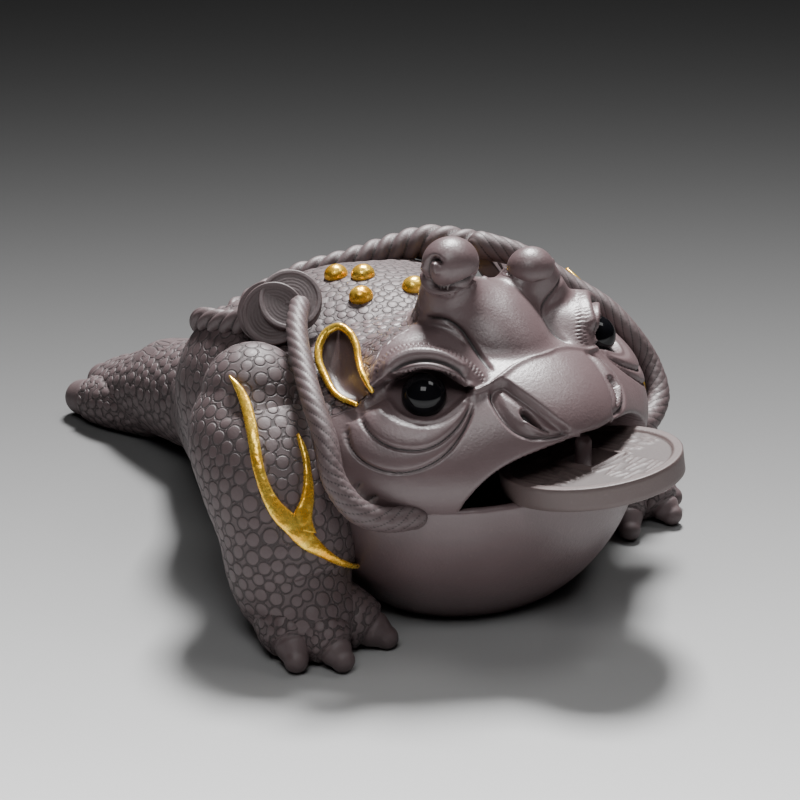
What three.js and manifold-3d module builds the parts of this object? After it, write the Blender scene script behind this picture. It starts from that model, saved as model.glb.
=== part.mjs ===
// A money toad: a three-legged toad of unglazed clay that holds a pierced coin in its mouth.
// It faces -Y and stands on the plane z = 0, with the middle of its flat belly at the origin.
// The toad, with its rope, strung coins and studs, is one fired piece. The loose coin is held
// by a clay pillar through its square hole, and the two glass eyes sit in sockets.
import * as THREE from "three";
import { mergeVertices } from "three/addons/utils/BufferGeometryUtils.js";
import Module from "manifold-3d";

const wasm = await Module();
wasm.setup();

// Driving dimensions, in millimetres.
const FIGURE_LENGTH = 116; // upper lip to the tip of the hind toes
const EYE_DIAMETER = 6.2;
const COIN_DIAMETER = 25;
const COIN_THICKNESS = 3;
const COIN_HOLE = 5.4; // side of the square hole
const COIN_RIM = 1.5; // width of the raised rim
const COIN_FIELD_DEPTH = 0.4;
const COIN_SIDES = 28;
const PILLAR_PLAY = 1.6; // free space round the pillar in the coin's hole
const ROPE_DIAMETER = 3.4;
const STRUNG_COIN_DIAMETER = 9;
const STRUNG_COIN_THICKNESS = 1.5;
const STUD_DIAMETER = 3.6;
const GILDING_RELIEF = 0.7; // how far the gilded flames stand proud of the leg
const CLEARANCE = 0.3; // between the clay and each loose or set-in piece

// The figure's free form is given at a length of 116, as shares of the real length.
const share = FIGURE_LENGTH / 116;
const point = ([x, y, z]) => new THREE.Vector3(x, y, z).multiplyScalar(share);
const radians = THREE.MathUtils.degToRad;

const material = (name, color, roughness) => {
  return new THREE.MeshStandardMaterial({ name, color, roughness, metalness: 0 });
};
const CLAY = material("clay", 0x6b5a59, 0.62);
const COIN_CLAY = material("coin_clay", 0x765f5c, 0.6);
const EYE_GLASS = material("eye_glass", 0x060606, 0.05);

// A closed geometry as a solid, turned the right way out.
function solid(geometry) {
  const bare = geometry.clone();
  bare.deleteAttribute("normal");
  bare.deleteAttribute("uv");
  const merged = mergeVertices(bare, 1e-4);
  const triVerts = new Uint32Array(merged.index.array);
  const vertProperties = new Float32Array(merged.attributes.position.array);
  const made = new wasm.Manifold(new wasm.Mesh({ numProp: 3, vertProperties, triVerts }));
  if (made.status() !== "NoError") throw new Error("a form is not closed: " + made.status());
  if (made.volume() > 0) return made;
  for (let i = 0; i < triVerts.length; i += 3) {
    [triVerts[i + 1], triVerts[i + 2]] = [triVerts[i + 2], triVerts[i + 1]];
  }
  return new wasm.Manifold(new wasm.Mesh({ numProp: 3, vertProperties, triVerts }));
}

// A solid as a geometry for a THREE.Mesh.
function geometryOf(body) {
  const mesh = body.getMesh();
  const geometry = new THREE.BufferGeometry();
  geometry.setAttribute("position", new THREE.BufferAttribute(new Float32Array(mesh.vertProperties), 3));
  geometry.setIndex(new THREE.BufferAttribute(new Uint32Array(mesh.triVerts), 1));
  geometry.computeVertexNormals();
  return geometry;
}

const join = (bodies) => bodies.reduce((whole, body) => whole.add(body));
const mirrored = (geometry) => geometry.clone().scale(-1, 1, 1);

// A piece made for the toad's right side, and the same piece mirrored for its left.
const bothSides = (geometries) => geometries.flatMap((geometry) => [geometry, mirrored(geometry)]);

// A rotation from three perpendicular unit vectors, or from angles about X, Y and Z in degrees.
function turnOf(turn) {
  if (turn instanceof THREE.Matrix4) return turn;
  const [x, y, z] = turn.map(radians);
  return new THREE.Matrix4().makeRotationFromEuler(new THREE.Euler(x, y, z));
}

// An ellipsoid with three radii. A power over 2 squares its shoulders.
function ball({ centre, radii, turn = [0, 0, 0], power = 2, detail = 4 }) {
  const geometry = new THREE.IcosahedronGeometry(1, detail);
  const place = geometry.attributes.position;
  const v = new THREE.Vector3();
  for (let i = 0; i < place.count; i++) {
    v.fromBufferAttribute(place, i).normalize();
    const sum = Math.abs(v.x) ** power + Math.abs(v.y) ** power + Math.abs(v.z) ** power;
    v.multiplyScalar(sum ** (-1 / power)).multiply(point(radii));
    place.setXYZ(i, v.x, v.y, v.z);
  }
  const middle = point(centre);
  return geometry.applyMatrix4(turnOf(turn)).translate(middle.x, middle.y, middle.z);
}

// Reads a row of values at t from 0 to 1, easing from each to the next.
function eased(values, t) {
  const along = t * (values.length - 1);
  const low = Math.min(Math.floor(along), values.length - 2);
  const mix = along - low;
  const ease = mix * mix * (3 - 2 * mix);
  return values[low] * (1 - ease) + values[low + 1] * ease;
}

// A tapered limb: rings carried along a smooth path, with rounded ends. Its section may be
// flattened across the path, and may have twisted lobes, as a laid rope has.
function limb({
  path,
  radii,
  sides = 8,
  steps = 12,
  flat = [1, 1],
  up = [0, 0, 1],
  lobes = 0,
  turns = 0,
  lobeDepth = 0,
}) {
  const curve = new THREE.CatmullRomCurve3(path.map(point), false, "centripetal");
  const reference = new THREE.Vector3(...up);
  const rings = [];
  const radiusAt = (t) => eased(radii, t) * share;
  const ring = (t, push, shrink) => {
    const tangent = curve.getTangent(t).normalize();
    const side = new THREE.Vector3().crossVectors(tangent, reference).normalize();
    const rise = new THREE.Vector3().crossVectors(side, tangent);
    const radius = radiusAt(t);
    const middle = curve.getPoint(t).addScaledVector(tangent, push * radius);
    return Array.from({ length: sides }, (_, k) => {
      const angle = (2 * Math.PI * k) / sides;
      const lobed = 1 + lobeDepth * Math.cos(lobes * (angle - 2 * Math.PI * turns * t));
      const reach = radius * shrink * lobed;
      return middle
        .clone()
        .addScaledVector(side, Math.cos(angle) * reach)
        .addScaledVector(rise, Math.sin(angle) * reach * eased(flat, t));
    });
  };
  const bend = Math.PI / 5;
  rings.push([curve.getPoint(0).addScaledVector(curve.getTangent(0).normalize(), -radiusAt(0))]);
  rings.push(ring(0, -Math.cos(bend), Math.sin(bend)));
  for (let i = 0; i <= steps; i++) rings.push(ring(i / steps, 0, 1));
  rings.push(ring(1, Math.cos(bend), Math.sin(bend)));
  rings.push([curve.getPoint(1).addScaledVector(curve.getTangent(1).normalize(), radiusAt(1))]);
  return loft(rings);
}

// Skins a row of rings whose first and last are single points.
function loft(rings) {
  const places = [];
  const starts = [];
  for (const ring of rings) {
    starts.push(places.length / 3);
    for (const p of ring) places.push(p.x, p.y, p.z);
  }
  const faces = [];
  for (let r = 0; r + 1 < rings.length; r++) {
    const here = rings[r].length;
    const next = rings[r + 1].length;
    const a = (k) => starts[r] + (k % here);
    const b = (k) => starts[r + 1] + (k % next);
    for (let k = 0; k < Math.max(here, next); k++) {
      if (here > 1) faces.push(a(k), a(k + 1), b(k));
      if (next > 1) faces.push(a(k + 1), b(k + 1), b(k));
    }
  }
  const geometry = new THREE.BufferGeometry();
  geometry.setAttribute("position", new THREE.Float32BufferAttribute(places, 3));
  geometry.setIndex(faces);
  return geometry;
}

// A frame on the skin: out of the surface, up along it, and across it.
function skinFrame(out, lean = [0, 0, 1]) {
  const n = new THREE.Vector3(...out).normalize();
  const across = new THREE.Vector3().crossVectors(new THREE.Vector3(...lean), n).normalize();
  const rise = new THREE.Vector3().crossVectors(n, across);
  return { n, across, rise, turn: new THREE.Matrix4().makeBasis(across, rise, n) };
}

// A place given across, up and out from a point, in a skin frame.
const placed = (centre, frame, [across, rise, out]) =>
  [0, 1, 2].map((k) => {
    const along = frame.across.getComponent(k) * across + frame.rise.getComponent(k) * rise;
    return centre[k] + along + frame.n.getComponent(k) * out;
  });

// How far a place lies inside a form (negative) or outside it (positive), as a share.
const outside = (form, place) => {
  const sum = form.radii.reduce((total, radius, k) => {
    return total + (Math.abs(place[k] - form.centre[k]) / radius) ** (form.power ?? 2);
  }, 0);
  return sum - 1;
};

// The place where a line through a point, square to a skin frame, leaves the forms.
function landing(forms, centre, frame, [across, rise, out = 0]) {
  let low = -30;
  let high = 30;
  while (high - low > 1e-3) {
    const middle = (low + high) / 2;
    const place = placed(centre, frame, [across, rise, middle]);
    if (forms.some((form) => outside(form, place) < 0)) low = middle;
    else high = middle;
  }
  return placed(centre, frame, [across, rise, low + out]);
}

// The same forms with their skin lifted.
const lifted = (forms, lift) =>
  forms.map((form) => ({ ...form, radii: form.radii.map((radius) => radius + lift) }));

// A closed outline in a skin frame, carried straight through from one depth to another.
function prism(centre, frame, outline, [from, to]) {
  const shape = new THREE.Shape(outline.map(([x, y]) => new THREE.Vector2(x * share, y * share)));
  const depth = (to - from) * share;
  const geometry = new THREE.ExtrudeGeometry(shape, { depth, bevelEnabled: false, steps: 1 });
  const middle = point(centre);
  geometry.translate(0, 0, from * share).applyMatrix4(frame.turn);
  return geometry.translate(middle.x, middle.y, middle.z);
}

// The same, of a smooth outline through a few places.
function outlinePrism(centre, frame, places, depths, samples) {
  const through = places.map(([x, y]) => new THREE.Vector3(x, y, 0));
  const curve = new THREE.CatmullRomCurve3(through, true, "centripetal");
  const outline = curve.getPoints(samples).slice(1).map((p) => [p.x, p.y]);
  return prism(centre, frame, outline, depths);
}

// A low relief that follows the forms under it: their lifted skin inside an outline.
const skinOf = (forms, lift) => join(lifted(forms, lift).map((form) => solid(ball(form))));
const relief = (forms, lift, cut) => skinOf(forms, lift).intersect(solid(cut));

// Trunk, and the hind leg with its blunt toes.
const TRUNK = { centre: [0, -6, 16], radii: [25, 29, 23], detail: 3 };
const trunk = [
  ball(TRUNK),
  ball({ centre: [0, 14, 12], radii: [16, 17, 13], detail: 2 }),
  ball({ centre: [-14, 2, 23], radii: [11, 14, 12], detail: 2 }),
  ball({ centre: [14, 2, 23], radii: [11, 14, 12], detail: 2 }),
  limb({
    path: [[0, 12, 11], [0, 28, 10], [0, 42, 7.8], [1, 54, 5]],
    radii: [13, 10, 8.6, 8],
    flat: [0.95, 0.98, 0.88, 0.6],
    sides: 10,
    steps: 5,
  }),
  limb({ path: [[-3, 48, 4], [-6, 57, 3.2]], radii: [4.5, 3.4], sides: 6, steps: 1 }),
  limb({ path: [[1, 50, 4], [0.5, 61.5, 3.4]], radii: [4.8, 3.6], sides: 6, steps: 1 }),
  limb({ path: [[5, 48, 4], [8.5, 58, 3.4]], radii: [4.5, 3.4], sides: 6, steps: 1 }),
];

// Skull with its muzzle, and the full bowl of the lower jaw.
const SKULL = { centre: [0, -18.8, 22.6], radii: [29.6, 28, 14.8], detail: 4 };
const MUZZLE = { centre: [0, -33.8, 26.6], radii: [14.5, 13.6, 9], detail: 3 };
const JAW = { centre: [0, -25.4, 19.4], radii: [25.6, 21.2, 24], power: 2.05, detail: 3 };
const jawTop = new THREE.BoxGeometry(80, 80, 60).translate(0, -25 * share, (19.6 + 30) * share);
const jaw = solid(ball(JAW)).subtract(solid(jawTop));

// The mouth: an arched upper lip over a level lower lip, and the line of the closed corners.
const LOWER_LIP = 19.3;
const mouthArch = ball({ centre: [0, -42, LOWER_LIP], radii: [21.5, 14, 9.3], power: 1.45, detail: 3 });
const mouthWell = ball({ centre: [0, -34.5, LOWER_LIP], radii: [17, 9, 6.5], detail: 2 });
const aboveLip = new THREE.BoxGeometry(60, 60, 20).translate(0, -38 * share, (LOWER_LIP + 10) * share);
const aboveWell = new THREE.BoxGeometry(60, 60, 20).translate(0, -38 * share, (LOWER_LIP + 10.2) * share);

// The right side of the face is carved square to this direction, from the eye outwards.
const EYE = [-14.7, -30.9, 32.7];
const faceFrame = skinFrame([-0.632, -0.678, 0.375]);
const onFace = (place) => landing([SKULL, MUZZLE], EYE, faceFrame, place);

// Two bulging folds under the eye, the upper one standing on the lower.
const bagFrame = skinFrame([-0.6, -0.55, 0.58]);
const bags = [
  ball({ centre: onFace([-0.9, -3, -2.8]), radii: [9.4, 8.8, 3.9], turn: bagFrame.turn, detail: 2 }),
  ball({ centre: onFace([-0.6, -1.8, -2]), radii: [7.6, 7, 3.6], turn: bagFrame.turn, detail: 2 }),
];

// The almond opening between the lids, cut back to a seat for the glass eye.
const ALMOND = [
  [-5.6, -0.6], [-4.2, 1.5], [-1.8, 2.8], [0.8, 3], [3.6, 2.1], [7, 0.3],
  [4.8, -1.8], [2.6, -3.2], [0.3, -3.5], [-2.2, -3.1], [-4.2, -1.9],
];
const almond = solid(outlinePrism(EYE, faceFrame, ALMOND, [-4, 9], 11)).subtract(skinOf([SKULL], 0.3));

const lids = [
  limb({
    path: [
      [-5.6, -0.6, 0.3], [-4.4, 1.6, 1], [-2, 3, 1.5],
      [0.8, 3.2, 1.6], [3.6, 2.3, 1.4], [7, 0.3, 0.6],
    ].map(onFace),
    radii: [0.5, 0.9, 1, 0.9, 0.5],
    sides: 4,
    steps: 6,
  }),
  limb({
    path: [
      [-5.4, -0.8, 0.3], [-4, -2, 0.9], [-2.2, -3.3, 1.4],
      [0.3, -3.7, 1.6], [2.8, -3.3, 1.4], [6.6, -0.7, 0.7],
    ].map(onFace),
    radii: [0.4, 0.7, 0.8, 0.7, 0.4],
    sides: 4,
    steps: 6,
  }),
];

// The smooth brow between the eye and the forehead, hollowed over the eye, and the stippled
// ridge along its edge.
const EYE_PIT = { centre: placed(EYE, faceFrame, [0, -4, 2]), radii: [8.2, 8.6, 6], turn: faceFrame.turn };
const BROW = { centre: [-13.5, -28.5, 33.5], radii: [8, 9, 5.2], turn: [8, -16, -20] };
const brow = solid(ball({ ...BROW, detail: 2 })).subtract(solid(ball({ ...EYE_PIT, detail: 2 })));
const browRidge = [
  limb({
    path: [
      [-6.6, 0.8, 0.4], [-5.2, 3.4, 2], [-2.8, 5, 3], [0, 5.6, 3.2],
      [2.8, 5, 2.8], [5.6, 3.4, 2], [8.6, 1.2, 0.6],
    ].map(onFace),
    radii: [0.7, 1.2, 1.3, 1.2, 0.8],
    sides: 4,
    steps: 6,
  }),
];

// Forehead dome and the curled horns that rise behind it.
const dome = [
  ball({ centre: [0, -26.3, 33.4], radii: [8.7, 10.2, 9.6], detail: 3 }),
  ball({ centre: [0, -31, 32], radii: [6, 7.5, 6], detail: 2 }),
];

// The nose: a shield-shaped plate between two leaf-shaped nostrils.
const NOSE = [0, -42, 33];
const noseFrame = skinFrame([0, -0.75, 0.66]);
const SHIELD = [
  [0, 4.7], [5, 4.4], [9, 3.4], [8.3, 1.6], [6.6, -1.3], [4.5, -4.4], [2.6, -6.8],
  [0, -7.8], [-2.6, -6.8], [-4.5, -4.4], [-6.6, -1.3], [-8.3, 1.6], [-9, 3.4], [-5, 4.4],
];
const nosePlate = relief([SKULL, MUZZLE], 0.9, outlinePrism(NOSE, noseFrame, SHIELD, [-6, 5], 18));
const LEAF = [
  [9.2, 0.8], [11.6, 0.6], [14.3, -1.7], [17.6, -4.8],
  [15.5, -5.6], [12.6, -5.2], [10, -3.4], [8.5, -1],
];
const nostril = solid(outlinePrism(EYE, faceFrame, LEAF, [-4, 12], 12))
  .subtract(skinOf([SKULL, MUZZLE], -0.7));
const nostrilHole = ball({ centre: onFace([13.4, -3.6, -0.6]), radii: [1, 1, 1.2], detail: 1 });
const horn = (side, neck, tip, radii) => [
  limb({
    path: [[side * 4, -23.8, 36.5], [side * 5.4, -25, neck[2] - 3.4], neck, tip],
    radii: [3.6, 3.1, 2.9, 2.8],
    sides: 7,
    steps: 5,
    up: [0, 1, 0],
  }),
  ball({ centre: tip, radii, detail: 2 }),
];
const horns = [
  ...horn(-1, [-6.3, -26.2, 45], [-6.5, -27.6, 47.2], [3.8, 3.5, 3.4]),
  ...horn(1, [6.8, -26.8, 41.4], [7.9, -28, 43.2], [3.3, 3.3, 2.9]),
];

// The ear: a leaf-shaped cup with a raised rim.
const EAR_RIM = [
  [-20.3, -27.3, 33.2], [-19.6, -24.6, 35.3], [-18, -21.1, 37.3],
  [-17.4, -18, 38.4], [-19.4, -17.3, 37.3], [-21.2, -18.3, 35.1],
  [-22.4, -21.2, 32.9], [-22.8, -24, 31.5], [-22.3, -26.7, 31.5],
];
const EAR_CUP = { centre: [-19.3, -21.8, 33.9], radii: [2.6, 3.4, 5.4], turn: [-35, 0, 20] };
const ears = [
  limb({ path: EAR_RIM, radii: [0.6, 1, 1.1, 1, 0.6], sides: 4, steps: 7 }),
  ball({ ...EAR_CUP, detail: 1 }),
];

// The right front leg, with its foot of three clawed toes, and the shoulder that carries it.
const SHOULDER = { centre: [-21.5, -11, 25.5], radii: [11.5, 11.5, 10.5], turn: [0, 20, 0] };
const shoulder = ball({ ...SHOULDER, detail: 2 });
const frontLeg = (lift) =>
  limb({
    path: [
      [-26.3, -10.8, 29.6], [-27.6, -11.2, 25.7], [-28.3, -17.5, 15.9],
      [-30.4, -23.8, 7.2], [-30.6, -26.5, 4.5],
    ],
    radii: [6.8, 8.1, 8.5, 7.8, 6.4].map((radius) => radius + lift),
    sides: 10,
    steps: 6,
    up: [-0.6, -0.7, 0.2],
  });
const toes = [
  [[-31.5, -22.6, 5.2], [-34, -26, 4.2], [-35.9, -28.8, 3], [-37.2, -30.8, 1.7]],
  [[-31, -25.5, 5], [-31.6, -29.2, 4], [-32, -32.2, 2.9], [-32.1, -34.6, 1.6]],
  [[-28, -25, 4.8], [-26.6, -28.8, 3.9], [-25, -31.8, 2.7], [-23.8, -33.8, 1.5]],
].map((path, i) => limb({ path, radii: [4.2, 3.8, 2.8, 1.4 - 0.1 * i], sides: 6, steps: 3 }));

// The gilded flame that forks down the outside of each front leg.
const FLAME = [
  [-24.6, 2.1], [-22, -2.2], [-20.9, -7], [-19.4, -11.6], [-17.2, -15.3], [-15.9, -16.6],
  [-15.7, -13.2], [-15.4, -9.2], [-16.1, -5.4], [-14.1, -9], [-13.8, -13.4], [-14.1, -17],
  [-12.8, -19.4], [-10.4, -21], [-7.1, -22.3], [-11.2, -22.8], [-14.9, -20.8], [-18.5, -17.2],
  [-21.1, -12.4], [-22.5, -7.2], [-23.2, -2.4],
];
const flame = solid(frontLeg(GILDING_RELIEF / share))
  .intersect(solid(outlinePrism(EYE, faceFrame, FLAME, [-18, 20], 16)));

// The rope: up from the mouth corner past the ear, through the strung coins, and over the back.
const rope = (path, turns) =>
  limb({
    path,
    radii: [ROPE_DIAMETER / share / 2, ROPE_DIAMETER / share / 2],
    sides: 6,
    steps: Math.round(turns * 2.2),
    lobes: 3,
    turns,
    lobeDepth: 0.12,
  });
const sideRope = rope(
  [
    [-21.6, -36.8, 19.1], [-25.6, -35.5, 19.5], [-28.6, -33.9, 21.1], [-29.9, -31.2, 24.4],
    [-28.7, -28, 29], [-27.6, -24.8, 31.8], [-25.1, -20, 34.5], [-20.2, -12.7, 38], [-16.7, -9.2, 39],
  ],
  6,
);
const backRope = rope(
  [
    [-18, -4, 36.8], [-19, 2, 34.2], [-17, 9, 30.5], [-11, 15, 27.5], [-3, 16, 29.5],
    [2.6, 12.6, 33.2], [7.8, 8.6, 36.6], [12.5, 5.5, 37.4], [17, 1, 37.6], [20, -4.5, 36.2],
  ],
  8,
);

// Coins strung on the rope, which fan out over the shoulder.
function piercedCoin({ diameter, thickness, hole, segments = 20 }) {
  const shape = new THREE.Shape();
  shape.absarc(0, 0, diameter / 2, 0, 2 * Math.PI);
  const h = hole / 2;
  const corners = [[-h, -h], [-h, h], [h, h], [h, -h]].map(([x, y]) => new THREE.Vector2(x, y));
  if (hole > 0) shape.holes.push(new THREE.Path(corners));
  const settings = { depth: thickness, bevelEnabled: false, curveSegments: segments };
  return new THREE.ExtrudeGeometry(shape, settings).translate(0, 0, -thickness / 2);
}
const strungCoins = (shift) => [
  { centre: [-16.4, -6.8, 39], out: [-0.5, -0.6, 0.62], hole: 2.2 },
  { centre: [-18.6, -5.3, 37.5], out: [-0.68, -0.6, 0.42], hole: 0 },
  { centre: [-18.2, -2.3, 36.8], out: [-0.8, -0.3, 0.52], hole: 0 },
].map(({ centre, out, hole }) => {
  const middle = point(centre.map((v, k) => v + shift[k]));
  const form = { diameter: STRUNG_COIN_DIAMETER, thickness: STRUNG_COIN_THICKNESS, hole, segments: 6 };
  return piercedCoin(form).applyMatrix4(skinFrame(out).turn).translate(middle.x, middle.y, middle.z);
});
const strung = [...strungCoins([0, 0, 0]), ...strungCoins([-2, 1.5, -2.9]).map(mirrored)];

// Seven studs on the back, in the old pattern of the seven stars.
const backFrame = skinFrame([0, 0, 1], [0, 1, 0]);
const STUD_SPOTS = [
  [-3.9, -2], [-2, -5.5], [-6.5, -10.1], [0.8, -12.8], [5.2, -12.2], [9, -10], [12.5, -7.5],
];
const studs = STUD_SPOTS.map(([x, y]) =>
  ball({
    centre: landing([TRUNK], [0, 0, 20], backFrame, [x, y, 0.3]),
    radii: Array(3).fill(STUD_DIAMETER / share / 2),
    detail: 1,
  }),
);

const EYE_SEAT = landing([SKULL], EYE, faceFrame, [0.3, -0.8, 0.1]);
const eyeBall = ball({ centre: EYE_SEAT, radii: Array(3).fill(EYE_DIAMETER / 2 / share), detail: 2 });
const eyeBore = ((sides) => {
  const radius = (EYE_DIAMETER / 2 + CLEARANCE) / Math.cos(Math.PI / sides) / share;
  const ring = Array.from({ length: sides }, (_, k) => {
    const angle = (2 * Math.PI * k) / sides;
    return [Math.cos(angle) * radius, Math.sin(angle) * radius];
  });
  return prism(EYE_SEAT, faceFrame, ring, [-radius, 9]);
})(10);

const carvedFace = [...bags, ...browRidge, ...lids, ...ears];
const rightSide = [...carvedFace, shoulder, frontLeg(0), ...toes, sideRope];
const middle = [...trunk, ball(SKULL), ball(MUZZLE), ...dome, ...horns, backRope, ...strung, ...studs];
const ground = solid(new THREE.BoxGeometry(400, 400, 100).translate(0, 0, -50));
const mirroredSolid = (body) => body.mirror([1, 0, 0]);
const body = join([
  jaw,
  ...[...middle, ...bothSides(rightSide)].map(solid),
  ...[flame, brow].flatMap((form) => [form, mirroredSolid(form)]),
  nosePlate,
]);

// The loose coin, tilted on the lower lip, and the pillar that holds it.
const COIN_PLACE = [0.8, -46.4, 22.3];
const coinFrame = skinFrame([-0.05, 0.156, 0.986], [0, 1, 0]);
const atCoin = (geometry) => {
  const middle = point(COIN_PLACE);
  return geometry.applyMatrix4(coinFrame.turn).translate(middle.x, middle.y, middle.z);
};
const plainCoin = (diameter, thickness, hole, segments) => {
  return solid(piercedCoin({ diameter, thickness, hole, segments }));
};
// On each face a sunk field lies between the raised outer rim and the raised rim of the hole.
const field = plainCoin(COIN_DIAMETER - 2 * COIN_RIM, 2 * COIN_FIELD_DEPTH, COIN_HOLE + 1.6 * COIN_RIM, 16);
const coinShape = [-1, 1].reduce(
  (whole, face) => whole.subtract(field.translate([0, 0, (face * COIN_THICKNESS) / 2])),
  plainCoin(COIN_DIAMETER, COIN_THICKNESS, COIN_HOLE, COIN_SIDES / 2),
);
const coin = solid(atCoin(geometryOf(coinShape)));
const roomDiameter = (COIN_DIAMETER + 2 * CLEARANCE) / Math.cos(Math.PI / COIN_SIDES);
const coinRoom = solid(
  atCoin(
    piercedCoin({
      diameter: roomDiameter,
      thickness: COIN_THICKNESS + 2 * CLEARANCE,
      hole: 0,
      segments: COIN_SIDES / 2,
    }),
  ),
);
const PILLAR_RADIUS = (COIN_HOLE / 2 - PILLAR_PLAY) / share;
const PILLAR_PLACE = [0.3, -45.3];
const pillarTop = COIN_PLACE[2] + COIN_THICKNESS / share - PILLAR_RADIUS + 1;
const pillar = limb({
  path: [[...PILLAR_PLACE, LOWER_LIP - PILLAR_RADIUS], [...PILLAR_PLACE, pillarTop]],
  radii: [PILLAR_RADIUS, PILLAR_RADIUS],
  sides: 10,
  steps: 1,
  up: [0, 1, 0],
});

const recesses = [nostril, almond];
const carved = join([
  ...bothSides([nostrilHole]).map(solid),
  ...recesses,
  ...recesses.map(mirroredSolid),
]);

const toad = body
  .subtract(carved)
  .subtract(solid(mouthArch).intersect(solid(aboveLip)))
  .subtract(solid(mouthWell).subtract(solid(aboveWell)))
  .subtract(coinRoom)
  .add(solid(pillar))
  .subtract(join(bothSides([eyeBore]).map(solid)))
  .subtract(ground);

const group = new THREE.Group();
const add = (name, body, surface) => {
  const mesh = new THREE.Mesh(geometryOf(body), surface);
  mesh.name = name;
  group.add(mesh);
};
add("toad", toad, CLAY);
add("coin", coin, COIN_CLAY);
add("eye_right", solid(eyeBall), EYE_GLASS);
add("eye_left", solid(mirrored(eyeBall)), EYE_GLASS);

export default group;
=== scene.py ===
"""The looks of a money toad: an unglazed clay figure with gilding, glass eyes and a loose coin.

Shapes are worked out in millimetres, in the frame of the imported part, and made metres when a
mesh is built. Each skin is a grid of rings, and the places of carved details are given as pixels
of the photograph, 800 by 800, through the camera that it was taken with."""

import math

import bpy
import numpy as np
from mathutils import Matrix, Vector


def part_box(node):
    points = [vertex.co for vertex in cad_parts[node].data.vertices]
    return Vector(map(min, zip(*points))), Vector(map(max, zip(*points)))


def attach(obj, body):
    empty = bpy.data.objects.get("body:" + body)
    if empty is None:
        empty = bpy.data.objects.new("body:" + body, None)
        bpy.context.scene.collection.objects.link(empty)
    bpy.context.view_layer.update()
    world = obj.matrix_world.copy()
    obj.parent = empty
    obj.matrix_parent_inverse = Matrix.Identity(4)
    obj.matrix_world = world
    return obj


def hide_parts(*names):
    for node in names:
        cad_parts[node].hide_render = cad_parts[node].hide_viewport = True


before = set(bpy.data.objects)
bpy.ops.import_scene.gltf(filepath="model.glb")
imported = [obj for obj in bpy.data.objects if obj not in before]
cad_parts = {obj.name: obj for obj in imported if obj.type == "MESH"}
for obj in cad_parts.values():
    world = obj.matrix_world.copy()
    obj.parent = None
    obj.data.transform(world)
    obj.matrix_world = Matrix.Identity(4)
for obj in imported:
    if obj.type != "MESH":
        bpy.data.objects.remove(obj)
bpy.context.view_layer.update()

MM = 0.001
SHORT_WAY = 0.05  # half the length over which a field's slope is taken
CAST_STEPS = 44
STROKE_POINTS = 40
POOL = 24000  # how many places of a skin its cells are chosen from
NO_CELL = 5.0  # a reach at which no cell is drawn

# ---- camera
AZIMUTH = math.radians(-43)
ELEVATION = math.radians(22)
TARGET = np.array([-1.5, -12.5, 22.3])
DISTANCE = 300.0
FOCAL = 2150.0  # in pixels
PICTURE = 800
BACK = np.array([
    math.sin(AZIMUTH) * math.cos(ELEVATION),
    -math.cos(AZIMUTH) * math.cos(ELEVATION),
    math.sin(ELEVATION),
])
RIGHT = np.array([math.cos(AZIMUTH), math.sin(AZIMUTH), 0.0])
UP = np.cross(BACK, RIGHT)
VIEWPOINT = TARGET + BACK * DISTANCE


def unit(v):
    """Directions shortened or lengthened to 1."""
    return v / np.maximum(np.linalg.norm(v, axis=-1, keepdims=True), 1e-9)


def in_picture(points):
    """The pixel of each point: its distances right and up of the view's axis, over its depth."""
    q = points - TARGET
    depth = DISTANCE - q @ BACK
    right, up = FOCAL * (q @ RIGHT) / depth, FOCAL * (q @ UP) / depth
    return np.stack([PICTURE / 2 + right, PICTURE / 2 - up], -1)


def sight(pixels):
    """The unit direction of the line of sight through each pixel."""
    q = np.asarray(pixels, float) - PICTURE / 2
    line = RIGHT * q[..., :1] - UP * q[..., 1:] - BACK * FOCAL
    return unit(line)


# ---- curves and fields
def smooth_path(points, count, closed=False):
    """A curve of cubics through points: its slope at a point is that between the neighbours."""
    p = np.asarray(points, float)
    if closed:
        p = np.concatenate([p[-2:], p, p[:3]])
    s = np.concatenate([[0], np.cumsum(np.linalg.norm(np.diff(p[:, :3], axis=0), axis=1))])
    slope = np.gradient(p, s, axis=0)
    first, last = (s[2], s[-3]) if closed else (s[0], s[-1])
    t = np.linspace(first, last, count, endpoint=not closed)
    i = np.clip(np.searchsorted(s, t, side="right") - 1, 0, len(s) - 2)
    h = (s[i + 1] - s[i])[:, None]
    x = (t - s[i])[:, None] / h
    start, end = (2 * x**3 - 3 * x**2 + 1), (3 * x**2 - 2 * x**3)
    leave, reach = (x**3 - 2 * x**2 + x) * h, (x**3 - x**2) * h
    return start * p[i] + leave * slope[i] + end * p[i + 1] + reach * slope[i + 1]


def step(low, high, x):
    """Rises with an ease from 0 at low to 1 at high, and is level beyond. Low may be greater."""
    t = np.clip((x - low) / (high - low), 0, 1)
    return t * t * (3 - 2 * t)


def rounded(x):
    """Rises from 0 to 1 as x does, like the first half of an ellipse."""
    return np.sqrt(1 - (1 - np.clip(x, 0, 1)) ** 2)


def turned(x, y, z):
    """A rotation by angles about X, then Y, then Z, in degrees, as a matrix for row vectors."""
    whole = np.eye(3)
    for axis, degrees in enumerate((x, y, z)):
        i, j, angle = (axis + 1) % 3, (axis + 2) % 3, math.radians(degrees)
        part = np.eye(3)
        part[i, i] = part[j, j] = math.cos(angle)
        part[i, j], part[j, i] = -math.sin(angle), math.sin(angle)
        whole = whole @ part
    return whole


def facing_frame(out, lean=(0, 0, 1)):
    """Rows: across, up along and out of a face."""
    n = unit(out)
    across = unit(np.cross(lean, n))
    return np.stack([across, np.cross(n, across), n])


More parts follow.
